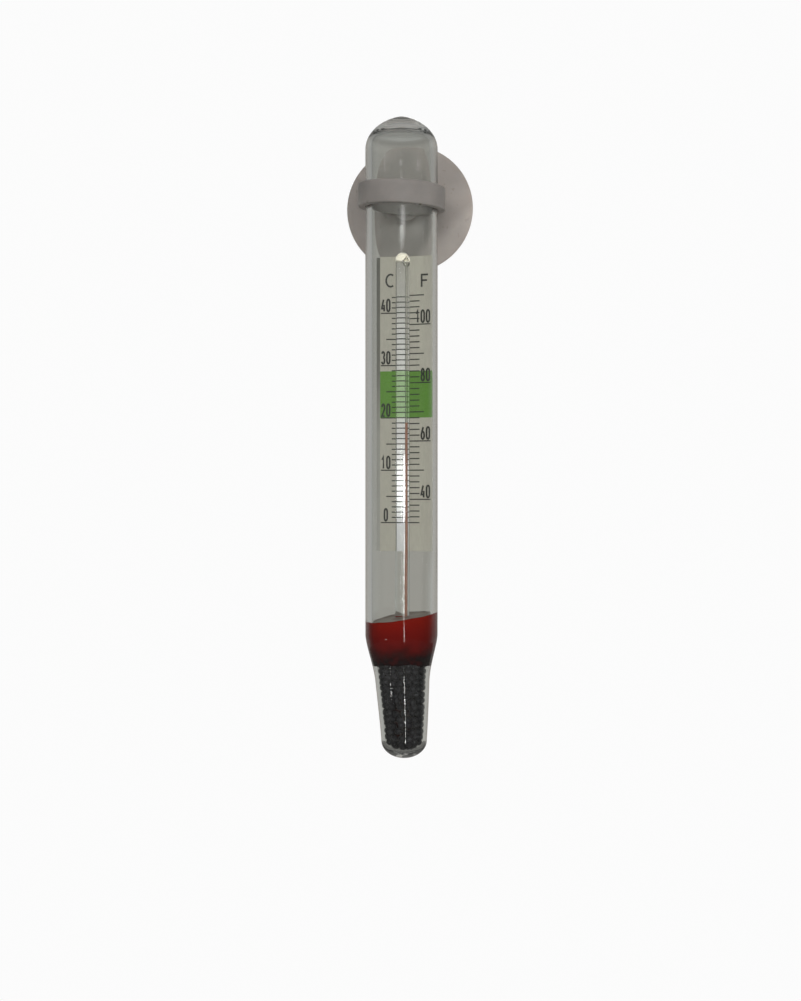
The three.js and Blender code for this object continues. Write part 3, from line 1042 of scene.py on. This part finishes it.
def cup_profile():
    """From the end of the neck over the crown to the rim, and back along the hollow that faces the pane."""
    rim = RIM_RADIUS
    return trace(
        (0.0, CUP_NECK_END),
        ((NECK_RADIUS + 0.35, CUP_NECK_END), 4),
        ((NECK_RADIUS, CUP_NECK_END + 0.5), (NECK_RADIUS, CUP_CROWN - 0.6), (4.4, CUP_CROWN), 12),
        ((6.4, CUP_CROWN + 0.3), (8.5, -1.9), (rim - 0.5, -0.75), 22),
        ((rim - 0.1, -0.62), (rim, -0.55), (rim, -0.33), 6),
        ((rim, -0.1), (rim - 0.1, 0.0), (rim - 0.3, 0.0), 6),
        ((rim - 0.8, 0.0), 2),
        ((8, -1.2), (4.5, CUP_HOLLOW), (0, CUP_HOLLOW), 26),
    )


def ring_profile():
    """The section of the ring, once round from the foot of its bore."""
    inner, outer, half = RING_BORE, RING_OUTER, RING_HALF
    corner, edge = inner + 0.15, outer - 0.4
    return trace(
        (corner, -half),
        ((edge, -half), 4),
        ((outer - 0.12, -half), (outer, -half + 0.12), (outer, -half + 0.4), 6),
        ((outer, half - 0.4), 10),
        ((outer, half - 0.12), (outer - 0.12, half), (edge, half), 6),
        ((corner, half), 4),
        ((inner + 0.04, half), (inner, half - 0.04), (inner, half - 0.15), 3),
        ((inner, -half + 0.15), 8),
        ((inner, -half + 0.04), (inner + 0.04, -half), (corner, -half), 3),
    )[:-1]


def suction_cup(material):
    """Cup, neck and tilted ring in one closed mesh."""
    cup = moved(revolve(cup_profile(), 128), lambda x, y, z: (x, z, -y))
    hoop = moved(
        revolve(ring_profile(), 128, closed=True),
        lambda x, y, z: (x + AXIS_X, y + AXIS_Y, z - x * RING_TILT),
    )
    body = piece("cup_and_ring", cup, material, "holder")
    other = piece("ring_tool", hoop, material, "holder")
    union = body.modifiers.new("union", "BOOLEAN")
    union.operation = "UNION"
    union.solver = "EXACT"
    union.object = other
    graph = bpy.context.evaluated_depsgraph_get()
    whole = bpy.data.meshes.new_from_object(body.evaluated_get(graph))
    body.modifiers.clear()
    body.data = whole
    bpy.data.objects.remove(other)
    whole.set_sharp_from_angle(angle=math.radians(35))
    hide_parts("suction_cup")
    return body


# ---- stage ----

CAMERA_HEIGHT = -52.0
CAMERA_DISTANCE = 300.0
CAMERA_AZIMUTH = math.radians(7)
CAMERA_SIDE = 0.17
SENSOR_WIDTH = 36
HALF_PICTURE = 85.92
FLASH = (15, CAMERA_HEIGHT + 4, 300)
STRIPE_BRIGHTEST = -49.5
FLOOR_HALF = 500
FLOOR_HEIGHT = TUBE_BOTTOM - 150
PALE = (0.97, 0.97, 0.97, 1)


def camera():
    """A level camera at the photograph's angle, moved a little aside to place the tube in the picture."""
    data = bpy.data.cameras.new("camera")
    data.sensor_width = SENSOR_WIDTH
    data.lens = SENSOR_WIDTH / 2 * CAMERA_DISTANCE / HALF_PICTURE
    data.clip_start = 0.01
    found = bpy.data.objects.new("camera", data)
    a = CAMERA_AZIMUTH
    found.location = (
        (AXIS_X + CAMERA_DISTANCE * math.sin(a) - CAMERA_SIDE * math.cos(a)) * MM,
        (AXIS_Y - CAMERA_DISTANCE * math.cos(a) - CAMERA_SIDE * math.sin(a)) * MM,
        CAMERA_HEIGHT * MM,
    )
    found.rotation_euler = (math.pi / 2, 0, a)
    bpy.context.scene.collection.objects.link(found)
    bpy.context.scene.camera = found


def place_lamp(name, data, place, target):
    found = bpy.data.objects.new(name, data)
    found.location = Vector(place) * MM
    found.rotation_euler = (Vector(target) - Vector(place)).to_track_quat("-Z", "Y").to_euler()
    bpy.context.scene.collection.objects.link(found)
    return found


def area_light(name, place, size, watts, shape="RECTANGLE"):
    """A flat lamp that faces the middle of the picture."""
    data = bpy.data.lights.new(name, "AREA")
    data.shape = shape
    data.size, data.size_y = size[0] * MM, size[1] * MM
    data.energy = watts
    return place_lamp(name, data, place, (AXIS_X, AXIS_Y, CAMERA_HEIGHT))


def around(azimuth, height, distance):
    """A place about the tube's axis: 0 degrees is in front and the right side is positive."""
    a = math.radians(azimuth)
    return AXIS_X + distance * math.sin(a), AXIS_Y - distance * math.cos(a), height


def lights():
    """Two soft boxes light the paper and the vinyl unseen. The others draw bright lines on the glass."""
    front = area_light("soft_front", around(-4, 90, 420), (420, 420), 2.4)
    side = area_light("soft_side", around(80, 40, 450), (400, 500), 0.8)
    for soft in (front, side):
        soft.visible_glossy = False
        soft.visible_transmission = False
    area_light("flash", around(*FLASH), (24, 24), 0.03, "ELLIPSE")
    area_light("flash_tail", around(15, -126, 300), (7, 130), 0.055)
    area_light("low_left", around(-45, -160, 300), (8, 14), 0.005)
    for share in (1.0, 0.75, 0.5, 0.25):
        size = (100 * share, 24 * share)
        area_light("high_soft", around(10, 45, 300 + share), size, 0.005 * share ** 2, "ELLIPSE")
    area_light("high_left", around(-47, 103, 500), (7, 12), 0.003)
    area_light("high_right", around(61, 103, 500), (7, 12), 0.003)


def stripe_glow(stripe):
    """A narrow lamp that lights only the white stripe, where the rod in front gathers the flash."""
    data = bpy.data.lights.new("stripe_glow", "SPOT")
    data.energy = 2.1
    data.spot_size = math.radians(3.0)
    data.spot_blend = 1.0
    data.shadow_soft_size = 2 * MM
    found = place_lamp("stripe_glow", data, around(*FLASH), (AXIS_X, CARD_FRONT, STRIPE_BRIGHTEST))
    only = bpy.data.collections.new("stripe_only")
    only.objects.link(stripe)
    found.light_linking.receiver_collection = only


def pale_world():
    """The camera sees a pale room. The glass mirrors darker greys, and shows a grey room through itself."""
    world = bpy.data.worlds.new("studio")
    bpy.context.scene.world = world
    world.use_nodes = True
    tree = world.node_tree
    path = tree.nodes.new("ShaderNodeLightPath").outputs
    direction = axes(tree, "Generated")
    facing = spread(tree, direction["Y"], -1, 1, 0, 1)
    tone = ramp(tree, facing, [
        (0.0, (0.08, 0.08, 0.076)),
        (0.58, (0.09, 0.09, 0.085)),
        (0.7, (0.2, 0.2, 0.19)),
        (0.79, (0.39, 0.39, 0.375)),
        (0.93, (0.39, 0.38, 0.36)),
        (1.0, (0.345, 0.325, 0.3)),
    ])
    in_front = spread(tree, facing, 0.38, 0.56, 1, 0)
    seen_through = reckoned(tree, "MULTIPLY", in_front, path["Is Transmission Ray"])
    through = mixed(tree, seen_through, tone, (0.34, 0.335, 0.32, 1))
    upper = spread(tree, direction["Z"], 0.12, 0.3, 0, 1)
    sky = mixed(tree, upper, through, (0.72, 0.72, 0.72, 1), "MULTIPLY")
    overhead = spread(tree, direction["Z"], 0.75, 1.0, 0, 1)
    grey = tree.nodes["Background"]
    tree.links.new(mixed(tree, overhead, sky, (0.28, 0.28, 0.27, 1)), grey.inputs["Color"])
    pale = tree.nodes.new("ShaderNodeBackground")
    pale.inputs["Color"].default_value = PALE
    camera_sees(tree, path, grey.outputs["Background"], pale.outputs["Background"], "World Output")


def camera_sees(tree, path, others, seen, output):
    """One shader for the camera's own rays and another for all the others."""
    mix = tree.nodes.new("ShaderNodeMixShader")
    tree.links.new(path["Is Camera Ray"], mix.inputs["Fac"])
    tree.links.new(others, mix.inputs[1])
    tree.links.new(seen, mix.inputs[2])
    tree.links.new(mix.outputs["Shader"], tree.nodes[output].inputs["Surface"])


def pale_floor():
    """A floor that is as pale as the room to the camera, and grey to all else, most so in reflections."""
    material = bpy.data.materials.new("pale_floor")
    material.use_nodes = True
    tree = material.node_tree
    path = tree.nodes.new("ShaderNodeLightPath").outputs
    pale = tree.nodes.new("ShaderNodeEmission")
    pale.inputs["Color"].default_value = PALE
    dim = tree.nodes.new("ShaderNodeEmission")
    dim.inputs["Color"].default_value = (0.4, 0.39, 0.37, 1)
    tree.links.new(spread(tree, path["Is Glossy Ray"], 0, 1, 1, 0.35), dim.inputs["Strength"])
    camera_sees(tree, path, dim.outputs["Emission"], pale.outputs["Emission"], "Material Output")
    corners = ((-1, -1), (1, -1), (1, 1), (-1, 1))
    verts = [(x * FLOOR_HALF, y * FLOOR_HALF, FLOOR_HEIGHT) for x, y in corners]
    floor = piece("pale_floor", (verts, [(0, 1, 2, 3)]), material, None, smooth=False)


def main():
    bpy.context.scene.view_settings.view_transform = "Standard"
    camera()
    lights()
    pale_world()
    pale_floor()
    glass = drawn_glass()
    glass_envelope(glass)
    seal_bead(glass)
    capillary(capillary_glass())
    frosted_end(frosted_glass())
    spirit(dyed_spirit("red_spirit", (0.24, 0.11, 0.07), 0.25, (0.21, 0.1, 0.062), (0.27, 0.125, 0.08)))
    dark, light = (0.015, 0.003, 0.002), (0.025, 0.004, 0.003)
    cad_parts["bulb_spirit"].data.materials.clear()
    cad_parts["bulb_spirit"].data.materials.append(
        dyed_spirit("deep_spirit", (0.02, 0.003, 0.002), 0.2, dark, light)
    )
    black = ink("black_ink", (0.012, 0.0115, 0.011))
    green = ink("green_ink", (0.066, 0.158, 0.02))
    stripe = printed_card(card_paper(), black, green, grey_stiffener(), stripe_white())
    wax_plug(red_wax())
    wax_skin(wax_film())
    shot(black_shot())
    suction_cup(grey_vinyl())
    stripe_glow(stripe)


main()
